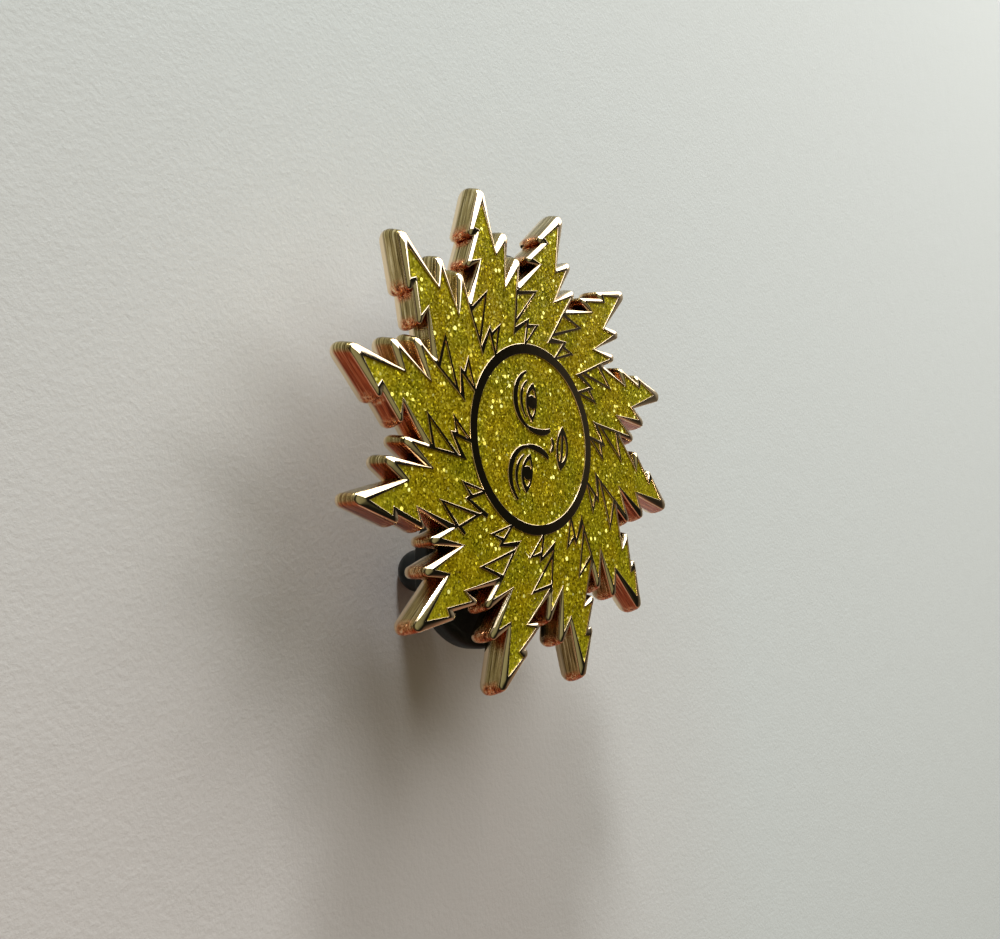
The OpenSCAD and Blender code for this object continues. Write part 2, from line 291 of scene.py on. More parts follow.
class Builder:
    """Collects vertices in millimetres and faces, then makes one object."""

    def __init__(self):
        self.verts, self.faces, self.flat, self.mats = [], [], [], []

    def row(self, points, z):
        """Adds points at one height, or a height each, and returns their places."""
        start = len(self.verts)
        z = np.broadcast_to(z, (len(points),))
        self.verts += [(float(x), float(y), float(h)) for (x, y), h in zip(points, z)]
        return list(range(start, start + len(points)))

    def face(self, ids, flat=False, mat=0):
        """Adds a face, without the corners that repeat the one before them."""
        ids = [i for n, i in enumerate(ids) if i != ids[n - 1]]
        if len(ids) > 2:
            self.faces.append(ids)
            self.flat.append(flat)
            self.mats.append(mat)

    def band(self, low, high, skip=(), mat=0):
        """Quads between two closed rows; the outside is to the right of travel when low is below high."""
        n = len(low)
        for i in range(n):
            if i not in skip:
                j = (i + 1) % n
                self.face([low[i], low[j], high[j], high[i]], mat=mat)

    def make(self, name, materials, sharp=38):
        """One object of what was collected; edges over sharp degrees stay sharp."""
        me = bpy.data.meshes.new(name)
        me.from_pydata([tuple(c * MM for c in v) for v in self.verts], [], self.faces)
        for p, flat, mat in zip(me.polygons, self.flat, self.mats):
            p.use_smooth = not flat
            p.material_index = mat
        bm = bmesh.new()
        bm.from_mesh(me)
        bmesh.ops.remove_doubles(bm, verts=bm.verts, dist=WELD * MM)
        bmesh.ops.recalc_face_normals(bm, faces=bm.faces)
        bm.to_mesh(me)
        bm.free()
        me.validate()
        smooth = [p.use_smooth for p in me.polygons]
        me.set_sharp_from_angle(angle=math.radians(sharp))  # this forgets which faces are flat
        me.polygons.foreach_set("use_smooth", smooth)
        for material in materials:
            me.materials.append(material)
        obj = bpy.data.objects.new(name, me)
        bpy.context.scene.collection.objects.link(obj)
        return obj


def region(loops, keep):
    """Triangles of the part of the plane that keep() accepts, cut along every loop.
    Returns points, triangles and the directed edges round them, with the kept side on the left."""
    pts, edges = [], []
    for loop in loops:
        start = len(pts)
        pts += [Vector((float(x), float(y))) for x, y in loop]
        m = len(loop)
        edges += [(start + i, start + (i + 1) % m) for i in range(m)]
    v, _, f, *_ = geometry.delaunay_2d_cdt(pts, edges, [], 0, 1e-5)
    v = np.array([(p.x, p.y) for p in v])
    tris = []
    for t in f:
        a, b, c = (v[i] for i in t)
        ccw = (b[0] - a[0]) * (c[1] - a[1]) - (b[1] - a[1]) * (c[0] - a[0])
        if abs(ccw) > 1e-9:
            tris.append(list(t) if ccw > 0 else list(t)[::-1])
    centres = np.array([v[t].mean(0) for t in tris])
    kept = [t for t, k in zip(tris, keep(centres)) if k]
    sides = {(t[i], t[(i + 1) % 3]): True for t in kept for i in range(3)}
    rim = [e for e in sides if (e[1], e[0]) not in sides]
    return v, kept, rim


def shrink(v, rim, skip):
    """Direction in which each point of the rim moves into the kept side by one unit."""
    move = {}
    for a, b in rim:
        if (a, b) in skip:
            continue
        d = unit(v[b] - v[a])
        for i in (a, b):
            move.setdefault(i, []).append(np.array([-d[1], d[0]]))
    out = {}
    for i, ns in move.items():
        s = sum(ns)
        if len(ns) == 2:
            s = s / max(FLATTEST, 1 + float(ns[0] @ ns[1]))
        length = float(np.hypot(*s))
        out[i] = s * min(1, LONGEST_PULL / max(length, 1e-9))
    return out


def raised(b, v, kept, rim, levels, skip=(), fixed=None, bottom=None):
    """Adds a raised flat: its top pulled in from the rim, rounded sides down to the last level.
    levels are (pull-in, height), the top first. skip are edges without a side, fixed the directions of
    points that follow another row, and bottom the height of an underside."""
    used = sorted({i for t in kept for i in t})
    move = shrink(v, rim, skip)
    move.update(fixed or {})
    rows = []
    for pull, z in levels:
        pts = np.array([v[i] + (move[i] * pull if i in move else 0) for i in used])
        rows.append(dict(zip(used, b.row(pts, z))))
    for t in kept:
        b.face([rows[0][i] for i in t], flat=True)
    for hi, lo in zip(rows, rows[1:]):
        for i, j in rim:
            if (i, j) not in skip:
                b.face([lo[i], lo[j], hi[j], hi[i]])
    if bottom is not None:
        ids = dict(zip(used, b.row(np.array([v[i] for i in used]), bottom)))
        for t in kept:
            b.face([ids[i] for i in t][::-1], flat=True)
        for i, j in rim:
            b.face([ids[i], ids[j], rows[-1][j], rows[-1][i]])


def lathe(b, profile, centre, n=96):
    """Turns (radius, height) points about a vertical axis. Closed at radius 0."""
    rows = []
    for r, z in profile:
        if r < 1e-6:
            rows.append(b.row([centre], z) * n)
        else:
            rows.append(b.row(arc(r, 0, 360 - 360 / n, n - 1, centre), z))
    for low, high in zip(rows, rows[1:]):
        b.band(low, high)


# ---------------------------------------------------------------- materials


class Nodes:
    """Short calls for building a node tree."""

    def __init__(self, tree):
        self.tree = tree
        self.tree.nodes.clear()

    def add(self, kind, **values):
        node = self.tree.nodes.new(kind)
        for name, value in values.items():
            setattr(node, name, value)
        return node

    def link(self, a, b):
        self.tree.links.new(a, b)

    def put(self, socket, value):
        """Links a socket to another one, or sets its value."""
        if isinstance(value, bpy.types.NodeSocket):
            self.link(value, socket)
        else:
            socket.default_value = value

    def math(self, op, a, b=0.0, c=0.0, clamp=False):
        n = self.add("ShaderNodeMath", operation=op, use_clamp=clamp)
        for socket, value in zip(n.inputs, (a, b, c)):
            self.put(socket, value)
        return n.outputs[0]

    def vmath(self, op, a, b=(0, 0, 0), scale=None):
        n = self.add("ShaderNodeVectorMath", operation=op)
        self.put(n.inputs[0], a)
        self.put(n.inputs[1], b)
        if scale is not None:
            self.put(n.inputs["Scale"], scale)
        return n.outputs[0]

    def ramp(self, value, stops):
        """The colour for each value; stops are (place, colour or grey)."""
        n = self.add("ShaderNodeValToRGB")
        self.link(value, n.inputs["Fac"])
        e = n.color_ramp.elements
        while len(e) < len(stops):
            e.new(0.5)
        for item, (place, colour) in zip(e, stops):
            item.position = place
            item.color = (*colour, 1) if hasattr(colour, "__len__") else (colour, colour, colour, 1)
        return n.outputs["Color"]

    def mix(self, fac, a, b, blend="MIX"):
        n = self.add("ShaderNodeMix", data_type="RGBA", blend_type=blend)
        self.put(n.inputs["Factor"], fac)
        self.put(n.inputs["A"], a if isinstance(a, bpy.types.NodeSocket) else (*a, 1))
        self.put(n.inputs["B"], b if isinstance(b, bpy.types.NodeSocket) else (*b, 1))
        return n.outputs["Result"]


class Surface(Nodes):
    """A material with one Principled shader; its patterns lie in the object's own coordinates, in metres."""

    def __init__(self, name):
        self.mat = bpy.data.materials.new(name)
        self.mat.use_nodes = True
        super().__init__(self.mat.node_tree)
        out = self.add("ShaderNodeOutputMaterial")
        self.bsdf = self.add("ShaderNodeBsdfPrincipled")
        self.link(self.bsdf.outputs["BSDF"], out.inputs["Surface"])
        self.coord = self.add("ShaderNodeTexCoord").outputs["Object"]

    def set(self, **values):
        for name, value in values.items():
            self.put(self.bsdf.inputs[name.replace("_", " ")], value)

    def noise(self, scale, detail=2.0, rough=0.5, vector=None):
        n = self.add("ShaderNodeTexNoise")
        self.link(vector or self.coord, n.inputs["Vector"])
        n.inputs["Scale"].default_value = scale
        n.inputs["Detail"].default_value = detail
        n.inputs["Roughness"].default_value = rough
        return n.outputs["Fac"]

    def voronoi(self, scale, feature="F1"):
        n = self.add("ShaderNodeTexVoronoi", feature=feature)
        self.link(self.coord, n.inputs["Vector"])
        n.inputs["Scale"].default_value = scale
        return n

    def bump(self, height, distance, strength):
        n = self.add("ShaderNodeBump")
        n.inputs["Distance"].default_value = distance
        n.inputs["Strength"].default_value = strength
        self.link(height, n.inputs["Height"])
        return n.outputs["Normal"]

    def xyz(self, vector=None):
        n = self.add("ShaderNodeSeparateXYZ")
        self.link(vector or self.coord, n.inputs[0])
        return n.outputs

    def reach(self, x, y):
        """Distance from the badge's axis."""
        return self.math("SQRT", self.math("MULTIPLY_ADD", x, x, self.math("MULTIPLY", y, y)))

    def attribute(self, name):
        return self.add("ShaderNodeAttribute", attribute_name=name).outputs["Fac"]


def srgb(r, g, b):
    return tuple((c / 255 / 12.92) if c <= 10 else ((c / 255 + 0.055) / 1.055) ** 2.4 for c in (r, g, b))


def gold_lines():
    """Polished plating on the line tops."""
    m = Surface("plated_line_tops")
    m.set(Base_Color=m.mix(m.noise(900, 3), (0.84, 0.64, 0.40), (0.93, 0.75, 0.52)), Metallic=1.0,
          Roughness=m.ramp(m.noise(2600, 3), [(0.3, 0.03), (0.7, 0.08)]),
          Normal=m.bump(m.noise(1500, 2), 0.00002, 0.08))
    return m.mat


def gold_side():
    """Plating on the rim and the back, and on the side between them. On the side the colour is painted: dark
    and pale streaks of colour stand in for the surroundings that the plating would mirror, with a painted
    red-brown reflection on parts facing -X, and copper with painted golden glints at the barbs."""
    m = Surface("plated_side")
    wall, tip, painted_red_reflection = m.attribute("wall"), m.attribute("tip"), m.attribute("painted_red_reflection")
    spots = m.noise(4200, 4, 0.65)
    stretched = m.add("ShaderNodeMapping")
    stretched.inputs["Scale"].default_value = (330, 330, 11000)
    m.link(m.coord, stretched.inputs["Vector"])
    streak = m.noise(1.0, 4, 0.6, vector=stretched.outputs[0])
    # painted dark reflection: dark and pale streaks of colour standing in for the surroundings mirrored by
    # the side
    dark_reflection_streaks = m.ramp(streak, [
        (0.34, (0.05, 0.033, 0.010)), (0.44, (0.24, 0.18, 0.070)), (0.56, (0.42, 0.33, 0.135)),
        (0.68, (0.88, 0.75, 0.46)),
    ])
    # painted red-brown reflection, for the parts of the side that face -X
    brown = m.ramp(streak, [
        (0.34, (0.05, 0.012, 0.005)), (0.44, (0.27, 0.048, 0.018)), (0.56, (0.48, 0.105, 0.040)),
        (0.70, (0.74, 0.36, 0.17)),
    ])
    pale = m.mix(m.noise(500, 3), (0.92, 0.71, 0.46), (0.97, 0.82, 0.59))
    side_colour_with_painted_reflection = m.mix(wall, pale, m.mix(painted_red_reflection, dark_reflection_streaks, brown))
    # copper wear at the barbs, partly a painted reddish reflection; its brightest stop is a painted golden
    # glint
    copper_and_painted_glints = m.ramp(spots, [
        (0.36, (0.12, 0.024, 0.009)), (0.47, (0.62, 0.16, 0.055)), (0.57, (0.92, 0.42, 0.19)),
        (0.68, (1.0, 0.82, 0.54)),
    ])
    crackle = m.voronoi(7000, "DISTANCE_TO_EDGE").outputs["Distance"]
    rough_skin = m.math("MULTIPLY_ADD", wall, 0.25, tip)
    skin = m.math("MULTIPLY", m.ramp(crackle, [(0.0, 0.0), (0.3, 1.0)]), rough_skin)
    grooves = m.math("MULTIPLY", streak, m.math("MULTIPLY_ADD", wall, 0.7, 0.2))
    wear = m.math("ADD", m.math("MULTIPLY", wall, 0.4), m.math("MULTIPLY", spots, 0.3))
    m.set(Base_Color=m.mix(tip, side_colour_with_painted_reflection, copper_and_painted_glints), Metallic=1.0,
          Roughness=m.ramp(wear, [(0.1, 0.06), (0.7, 0.24)]),
          Normal=m.bump(m.math("ADD", grooves, skin), 0.00003, 0.8))
    return m.mat


def glitter_enamel():
    """Clear yellow resin over fine glitter, with larger flakes in loose clusters."""
    m = Surface("glitter_enamel")
    normal = m.add("ShaderNodeNewGeometry").outputs["Normal"]
    fine, coarse = m.voronoi(9000), m.voronoi(3000)
    fine_random, coarse_random = m.xyz(fine.outputs["Color"]), m.xyz(coarse.outputs["Color"])

    # the resin, and the fine grains in it; it looks thinner and paler towards the rays' tips
    patches = m.ramp(m.noise(420, 3), [(0.36, 0.0), (0.64, 1.0)])
    tint = m.mix(patches, srgb(126, 120, 9), srgb(164, 132, 5))
    grain = m.ramp(fine_random[0], [
        (0.0, srgb(34, 40, 2)), (0.07, srgb(92, 88, 3)), (0.3, srgb(128, 116, 5)),
        (0.7, srgb(145, 131, 9)), (0.9, srgb(166, 152, 16)), (1.0, srgb(212, 198, 50)),
    ])
    x, y, _ = m.xyz()
    thin = m.ramp(m.math("MULTIPLY", m.reach(x, y), 60.0), [(0.72, 0.0), (0.95, 0.6)])
    colour = m.mix(thin, m.mix(0.55, tint, grain), srgb(168, 162, 30))

    # the larger flakes: round spots of random size in some of the coarse cells, coloured pale yellow to near
    # white as painted sparkle
    bunch = m.ramp(m.noise(600, 2), [(0.44, 0.05), (0.60, 0.58)])
    size = m.math("ADD", 0.16, m.math("MULTIPLY", coarse_random[0], 0.27))
    flake = m.math("MULTIPLY", m.math("LESS_THAN", coarse.outputs["Distance"], size),
                   m.math("LESS_THAN", coarse_random[2], bunch))
    colour = m.mix(flake, colour, m.mix(coarse_random[1], srgb(240, 216, 48), srgb(255, 250, 150)))

    def random_tilt(cell, amount):
        return m.vmath("SCALE", m.vmath("SUBTRACT", cell.outputs["Color"], (0.5, 0.5, 0.5)), scale=amount)

    tilt = m.add("ShaderNodeMix", data_type="VECTOR")
    m.put(tilt.inputs["Factor"], flake)
    m.put(tilt.inputs["A"], random_tilt(fine, 0.5))
    m.put(tilt.inputs["B"], random_tilt(coarse, 0.8))
    flake_normal = m.vmath("NORMALIZE", m.vmath("ADD", normal, tilt.outputs["Result"]))
    metal = m.math("MAXIMUM", m.math("MULTIPLY", m.math("GREATER_THAN", fine_random[1], 0.80), 0.5),
                   m.math("MULTIPLY", flake, 0.25))
    m.set(Base_Color=colour, Metallic=metal, Roughness=m.ramp(fine_random[2], [(0.0, 0.20), (1.0, 0.38)]),
          Normal=flake_normal, Specular_IOR_Level=0.03)
    m.set(Coat_Weight=0.15, Coat_Roughness=0.04, Coat_Normal=m.bump(m.noise(380, 2), 0.00004, 0.12))
    return m.mat


def rubber():
    m = Surface("black_rubber")
    m.set(Base_Color=m.mix(m.noise(1400, 4), (0.004, 0.0055, 0.005), (0.010, 0.0125, 0.012)),
          Roughness=m.ramp(m.noise(900, 3), [(0.3, 0.42), (0.7, 0.58)]),
          Normal=m.bump(m.noise(5200, 4, 0.6), 0.00002, 0.5), Specular_IOR_Level=0.25)
    return m.mat


def solder_metal():
    m = Surface("solder")
    m.set(Base_Color=m.mix(m.noise(2200, 4), (0.50, 0.48, 0.46), (0.70, 0.68, 0.66)), Metallic=1.0,
          Roughness=m.ramp(m.noise(3100, 3), [(0.3, 0.28), (0.7, 0.48)]),
          Normal=m.bump(m.noise(2600, 4, 0.6), 0.00006, 0.7))
    return m.mat


def post_metal():
    """Plated wire with fine turning marks round it."""
    m = Surface("plated_post")
    rings = m.math("SINE", m.math("MULTIPLY", m.xyz()[2], 42000.0))
    m.set(Base_Color=m.mix(m.noise(1500, 3), (0.82, 0.60, 0.38), (0.90, 0.70, 0.48)), Metallic=1.0,
          Roughness=m.ramp(m.noise(2600, 3), [(0.3, 0.16), (0.7, 0.30)]),
          Normal=m.bump(m.math("ADD", rings, m.noise(3000, 3)), 0.000004, 0.5))
    return m.mat


def paper():
    """White paper with painted shade: darker and warmer near the badge towards -X and +Y, where its shadow
    falls.
    """
    m = Surface("paper")
    fibre = m.noise(2600, 4, 0.62)
    blot = m.noise(420, 3, 0.5)
    x, y, _ = m.xyz()
    near = m.math("MULTIPLY_ADD", m.reach(x, y), -20.0, 1.9, clamp=True)
    # painted shade: the side of the badge towards -X and +Y, where the paper is darker and warmer
    painted_shade_side = m.math("MULTIPLY", m.math("MULTIPLY_ADD", x, -21.0, 0.65, clamp=True),
                    m.math("MULTIPLY_ADD", y, 24.0, 1.07, clamp=True))
    sheet = m.mix(m.math("MULTIPLY", painted_shade_side, near), (0.775, 0.795, 0.785), (0.738, 0.685, 0.662))
    m.set(Base_Color=m.mix(m.math("MULTIPLY", blot, 0.12), sheet, (0.60, 0.60, 0.59)), Roughness=0.92,
          Normal=m.bump(m.math("ADD", fibre, m.math("MULTIPLY", blot, 0.8)), 0.00008, 0.5),
          Specular_IOR_Level=0.2)
    return m.mat


LINES, SIDES, ENAMEL = gold_lines(), gold_side(), glitter_enamel()
RUBBER, SOLDER, POST = rubber(), solder_metal(), post_metal()
ON_SIDE = 1  # place of the side's material on the plate

# ---------------------------------------------------------------- the plate
LINE_ROUND = 0.024  # rounding of the line tops' edges
LINE_OUT = 0.03  # how far the lines lap over the colour fills, as in struck and polished metal
# (how far the line's side is pulled in from the cell's edge, depth below the line tops), the top first
LINE_EDGE = [
    (LINE_ROUND - LINE_OUT, 0), (0.3 * LINE_ROUND - LINE_OUT, 0.3 * LINE_ROUND),
    (-LINE_OUT, LINE_ROUND), (-LINE_OUT, 0.30),
]
RIM_STEPS = (0.05, 0.22, 0.36, 0.5, 0.64, 0.78, 0.9)  # rows across the rim, from the fills to its edge
RIM_FLAT = 0.22  # share of the rim that is level
RIM_DROP = 0.11  # how far its top falls from there out to its edge
# Rows down the swollen side to the back: (0 at the rim and 1 at the widest, depth below the line tops)
SIDE_ROWS = [
    (0.0, 0.125), (0.07, 0.155), (0.15, 0.20), (0.23, 0.25), (0.31, 0.30), (0.40, 0.375), (0.50, 0.475),
    (0.60, 0.585), (0.70, 0.70), (0.80, 0.82), (0.89, 0.94), (0.95, 1.06), (0.97, 1.18), (0.97, 1.29),
    (0.93, 1.40), (0.84, 1.51), (0.70, 1.61), (0.50, 1.70), (0.27, 1.765), (0.0, LINE_Z - BACK_Z),
]
CORNERS = len(RIM) + 1  # corners of the rim in one sector, the valley counted twice
STEPS = 8  # points put in along each straight run


def key(p):
    """A point rounded to a micrometre, to look it up by."""
    return (round(float(p[0]), 3), round(float(p[1]), 3))


def line_sides():
    """Where each cell corner moves when the line beside it is pulled in by one unit."""
    away = {}
    for loop in CELLS:
        side = -1 if area(loop) > 0 else 1
        for p, d in zip(loop, mitres(loop)):
            away[key(p)] = d * side
    return away


def rim_corners(k):
    """Cell corners along the rim: the outer ones of a cell's right side and of the next cell's left side."""
    return spin(cell_right(k)[:VALLEY + 1] + CELL_LEFT[VALLEY + 1:], -SECTOR * k)


AWAY = line_sides()
RIM_LOOP = np.concatenate([rim_corners(k) for k in range(RAYS)])


def filled_row(runs):
    """All points of a row: the corner runs, with even steps along the straights between them."""
    out, m = [], len(runs)
    for i, run in enumerate(runs):
        out += list(run)
        a, c = np.asarray(run[-1]), np.asarray(runs[(i + 1) % m][0])
        if i % CORNERS != VALLEY:
            out += [a + (c - a) * j / (STEPS + 1) for j in range(1, STEPS + 1)]
    return np.array(out)


def edge_runs(t):
    """The runs of edge_row, each valley twice, because two cells end beside it."""
    out = []
    for i, run in enumerate(edge_row(t)):
        out.append(run)
        if i % len(RIM) == VALLEY:
            out.append(run)
    return out


def edge_points(t):
    return filled_row(edge_runs(t))


def valley_gates(runs):
    """Places in a row where the line between two cells comes in from the middle of the badge."""
    gates, count = set(), 0
    for i, run in enumerate(runs):
        count += len(run)
        if i % CORNERS == VALLEY:
            gates.add(count - 1)
        else:
            count += STEPS
    return gates


def add_rim(b):
    """The outer side of the cells, the rim round them, and the swollen side down to the back."""
    runs = edge_runs(0)
    inner = filled_row([[p] * len(run) for p, run in zip(RIM_LOOP, runs)])
    away = filled_row([[AWAY[key(p)]] * len(run) for p, run in zip(RIM_LOOP, runs)])
    rows = [b.row(inner + away * pull, LINE_Z - deep) for pull, deep in LINE_EDGE[::-1]]
    start, end = inner + away * LINE_EDGE[0][0], filled_row(runs)
    for s in RIM_STEPS:
        fall = RIM_DROP * max(0, (s - RIM_FLAT) / (1 - RIM_FLAT)) ** 1.4
        rows.append(b.row(start + (end - start) * s, LINE_Z - fall))
    for t, deep in SIDE_ROWS:
        rows.append(b.row(edge_points(t), LINE_Z - deep))
    gates = valley_gates(runs)
    for n, (low, high) in enumerate(zip(rows, rows[1:])):
        if n < len(LINE_EDGE) - 1:
            b.band(low, high, skip=gates)
        else:
            b.band(low, high, mat=ON_SIDE)


KEEP_OUT = CELLS + FLAMES_LARGE + FLAMES_SMALL
FACE_LOOPS = [FACE_DISC] + STROKES + EYES + IRISES + LIPS


def is_face_fill(c):
    white = any_of(c, EYES) & ~any_of(c, IRISES)
    return any_of(c, [FACE_DISC]) & (~any_of(c, STROKES) | white | any_of(c, LIPS))


def is_line(c):
    return any_of(c, [RIM_LOOP]) & ~any_of(c, KEEP_OUT) & ~is_face_fill(c)


def add_lines(b):
    """The line tops inside the rim, the ring and the lines of the face."""
    v, kept, rim = region([RIM_LOOP] + KEEP_OUT + FACE_LOOPS, is_line)
    index = {key(p): i for i, p in enumerate(v)}
    gates, fixed = set(), {}
    for k in range(RAYS):
        p, q = RIM_LOOP[k * CORNERS + VALLEY], RIM_LOOP[k * CORNERS + VALLEY + 1]
        i, j = index[key(p)], index[key(q)]
        gates |= {(i, j), (j, i)}
        fixed[i], fixed[j] = AWAY[key(p)], AWAY[key(q)]
    raised(b, v, kept, rim, [(pull, LINE_Z - deep) for pull, deep in LINE_EDGE], skip=gates, fixed=fixed)


def add_back(b):
    """The flat back."""
    edge = edge_points(0)
    distinct = [i for i in range(len(edge)) if np.abs(edge[i] - edge[i - 1]).max() > 1e-6]
    v, kept, _ = region([edge[distinct]], lambda c: any_of(c, [edge]))
    ids = b.row(v, BACK_Z)
    for t in kept:
        b.face([ids[i] for i in t][::-1], flat=True, mat=ON_SIDE)


def rise(values, start, length):
    """0 up to start, then up to 1 within the length."""
    return np.clip((values - start) / length, 0, 1)


def fall_off(values, end, length):
    """0 from end on, and 1 a length before it."""
    return np.clip((end - values) / length, 0, 1)


def mark_side(plate):
    """Marks the side for its material: "wall" between rim and back, where the colour is a painted
    reflection; a mask where it faces -X, for a painted red-brown reflection; and "tip" at the barbs that
    face -X, for copper wear with painted glints."""
    co = np.array([vertex.co for vertex in plate.data.vertices]) / MM
    facing = np.array([vertex.normal for vertex in plate.data.vertices])
    depth = LINE_Z - co[:, 2]
    middle_row = edge_row(0.6)
    tip = np.zeros(len(co))
    for k in range(RAYS):
        for i in BARBS:
            n = k * len(RIM) + i
            before, c, after = (np.mean(middle_row[j % len(middle_row)], 0) for j in (n - 1, n, n + 1))
            # strongest at barbs that point towards -X, where the copper stands in partly for a painted
            # reflection
            strength = np.clip(0.25 - unit(c - (before + after) / 2)[0], 0, 1)
            distance = np.hypot(co[:, 0] - c[0], co[:, 1] - c[1])
            tip = np.maximum(tip, strength * fall_off(distance, 0.66, 0.3))
    tip *= rise(depth, 0.2, 0.3) * fall_off(depth, 1.55, 0.25)
    wall = rise(depth, 0.14, 0.06) * fall_off(depth, 1.38, 0.14)
    # how far the side faces -X, for its painted red-brown reflection
    side = facing[:, 0] / np.maximum(0.05, np.hypot(facing[:, 0], facing[:, 1]))
    for label, values in (("tip", tip), ("wall", wall), ("painted_red_reflection", fall_off(side, -0.05, 0.45))):
        attribute = plate.data.attributes.new(label, "FLOAT", "POINT")
        attribute.data.foreach_set("value", values.astype(np.float32))


plate_builder = Builder()
add_rim(plate_builder)
add_lines(plate_builder)
add_back(plate_builder)
plate = plate_builder.make("struck_plate_look", [LINES, SIDES], sharp=40)
mark_side(plate)
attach(plate, "badge")
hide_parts("struck_plate")

# ---------------------------------------------------------------- the colour fills
# A fill's edge climbs the line beside it: (distance from the line, height above the fill), the lowest first
MENISCUS = [(0.06, 0.0), (0.03, 0.006), (0.012, 0.018), (0.0, 0.035)]
FILL_GAP = 0.02  # between a fill's underside and the floor of its cell


def enamel(name, nodes, loops, keep):
    """One fill, or several as one piece: what keep() accepts of the areas inside the loops."""
    v, kept, rim = region(loops, keep)
    b = Builder()
    raised(b, v, kept, rim, [(pull, FILL_Z + climb) for pull, climb in MENISCUS], bottom=FLOOR_Z + FILL_GAP)
    obj = b.make(name, [ENAMEL], sharp=60)
    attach(obj, "badge")
    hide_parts(*nodes)


def is_in(*loops):
    return lambda c: any_of(c, loops)


for k, cell in enumerate(CELLS):
    enamel(f"ray_enamel_{k + 1:02d}", [f"ray_fill_{k + 1:02d}"], [cell], is_in(cell))
enamel("flame_enamel_large", ["flame_fills_large"], FLAMES_LARGE, is_in(*FLAMES_LARGE))
enamel("flame_enamel_small", ["flame_fills_small"], FLAMES_SMALL, is_in(*FLAMES_SMALL))
enamel("face_enamel", ["face_fill"], [FACE_DISC] + STROKES,
       lambda c: any_of(c, [FACE_DISC]) & ~any_of(c, STROKES))
enamel("eye_enamel", ["eye_fills"], EYES + IRISES, lambda c: any_of(c, EYES) & ~any_of(c, IRISES))
enamel("lip_enamel", ["lip_fills"], LIPS, is_in(*LIPS))

# ---------------------------------------------------------------- posts, solder and clutches
POST_R = 0.6
POINT_LEN = 1.2
GROOVE_UP = 2.2  # height of the groove above the end of the point
GROOVE_DEEP = 0.1
FOOT_R = 1.5
FLANGE_T = 1.3
FLANGE_ROUND = 0.32  # rounding of the flange's edges
KNOB_R = 2.2  # of the knob below the flange
KNOB_END_R = 1.5  # of its round end
KNOB_FLAT_R = 0.7  # of the flat that it stands on
BORE_R = 0.63  # of the hole for the post


def middle(node):
    """The middle of a node's box, its lowest and its highest point."""
    lo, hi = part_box(node)
    return ((lo.x + hi.x) / 2 / MM, (lo.y + hi.y) / 2 / MM), lo.z / MM, hi.z / MM


def make_post(side):
    """A turned nail post: its point, a groove round it, and the foot on the plate's back."""
    centre, low, high = middle(f"post_{side}")
    r, neck, groove = POST_R, POST_R - GROOVE_DEEP, low + GROOVE_UP
    b = Builder()
    lathe(b, [
        (0, low), (0.07, low + 0.01), (0.13, low + 0.06), (0.22, low + 0.26), (0.40, low + 0.70),
        (0.52, low + 0.94), (0.575, low + 1.06), (r, low + POINT_LEN),
        (r, groove - 0.03), (r - 0.02, groove + 0.01), (neck + 0.01, groove + 0.10), (neck, groove + 0.16),
        (neck, groove + 0.34), (neck + 0.01, groove + 0.40), (r - 0.02, groove + 0.49), (r, groove + 0.53),
        (r, high - 0.42), (r + 0.04, high - 0.34), (r + 0.14, high - 0.31), (FOOT_R - 0.12, high - 0.30),
        (FOOT_R - 0.03, high - 0.27), (FOOT_R, high - 0.2), (FOOT_R, high), (0, high),
    ], centre, 72)
    post = b.make(f"post_{side}_look", [POST], sharp=50)
    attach(post, "badge")
    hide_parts(f"post_{side}")


def make_solder(side, n=96):
    """A fillet of solder round the foot, a little uneven at its outside."""
    centre, _, high = middle(f"solder_{side}")
    # (radius, distance below the plate's back), from the foot's edge down, out and back along the plate
    ring = [
        (1.46, 0.29), (1.50, 0.31), (1.57, 0.27), (1.66, 0.19), (1.78, 0.12), (1.92, 0.06), (2.06, 0.02),
        (2.12, 0.001), (1.46, 0.001),
    ]
    turn = np.radians(np.arange(n) * 360 / n)
    uneven = 0.035 * np.sin(3 * turn + 0.6) + 0.022 * np.sin(5 * turn + 2.0) - 0.03
    b = Builder()
    rows = []
    for r, below in ring:
        reach = r * (1 + uneven * (r > FOOT_R + 0.02))
        x, y = centre[0] + reach * np.cos(turn), centre[1] + reach * np.sin(turn)
        rows.append(b.row(np.c_[x, y], high - below))
    for low, up in zip(rows, rows[1:] + rows[:1]):
        b.band(low, up)
    solder = b.make(f"solder_{side}_look", [SOLDER], sharp=70)
    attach(solder, "badge")
    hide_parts(f"solder_{side}")


def knob_end(low):
    """From the middle of the flat end, which is hollowed a little, round to the knob's side."""
    centre_z = math.sqrt(KNOB_END_R**2 - KNOB_FLAT_R**2)
    start = math.degrees(math.asin(centre_z / KNOB_END_R))
    out = [(0, low + 0.03), (0.35, low + 0.02), (0.6, low)]
    for i in range(1, 13):
        a = math.radians(-start * (1 - i / 12))
        out.append((KNOB_END_R * math.cos(a), low + centre_z + KNOB_END_R * math.sin(a)))
    return out


def knob_side(low, under):
    """Up the knob's cone, from the round end to the hollow fillet under the flange."""
    start = low + math.sqrt(KNOB_END_R**2 - KNOB_FLAT_R**2)
    out = [
        (KNOB_END_R + (KNOB_R - KNOB_END_R) * s, start + (under - 0.45 - start) * s) for s in (0.35, 0.70)
    ]
    return out + [
        (KNOB_R - 0.02, under - 0.62), (KNOB_R + 0.01, under - 0.42), (KNOB_R + 0.08, under - 0.24),
        (KNOB_R + 0.20, under - 0.10), (KNOB_R + 0.38, under - 0.02), (KNOB_R + 0.6, under),
    ]


